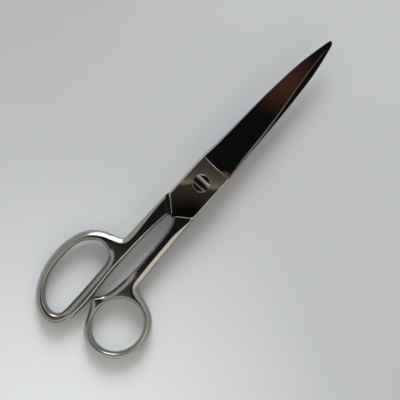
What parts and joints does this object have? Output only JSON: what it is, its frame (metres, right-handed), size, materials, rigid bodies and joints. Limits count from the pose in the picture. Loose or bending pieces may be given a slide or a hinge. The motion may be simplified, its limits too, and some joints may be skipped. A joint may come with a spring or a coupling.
{
  "type": "fabric shears",
  "caption": "Forged steel fabric shears: long pointed blades, flush slotted pivot screw with nut, oval thumb ring with a closing stop, and a long D-shaped finger bow.",
  "frame": {"origin": "centre of the pivot, in the plane where the two halves meet", "axes": "+X along the closed blades to the tips, +Y towards the finger bow, +Z along the pivot towards the screw head"},
  "size_m": [0.2102, 0.0676, 0.0101],
  "materials": {
    "polished_steel": "mirror-polished plated steel with fine scratches",
    "screw_steel": "polished head, brushed slot",
    "plain_steel": "plain turned steel"
  },
  "bodies": {
    "finger_body": {"finger_half": "polished_steel", "pivot_screw": "screw_steel", "lock_washer": "plain_steel", "pivot_nut": "plain_steel"},
    "thumb_body": {"thumb_half": "polished_steel"}
  },
  "joints": [
    {"name": "shear_pivot", "type": "hinge", "parent": "finger_body", "child": "thumb_body", "pos_m": [0, 0, 0], "axis": [0, 0, 1], "range_deg": [0, 110]}
  ]
}
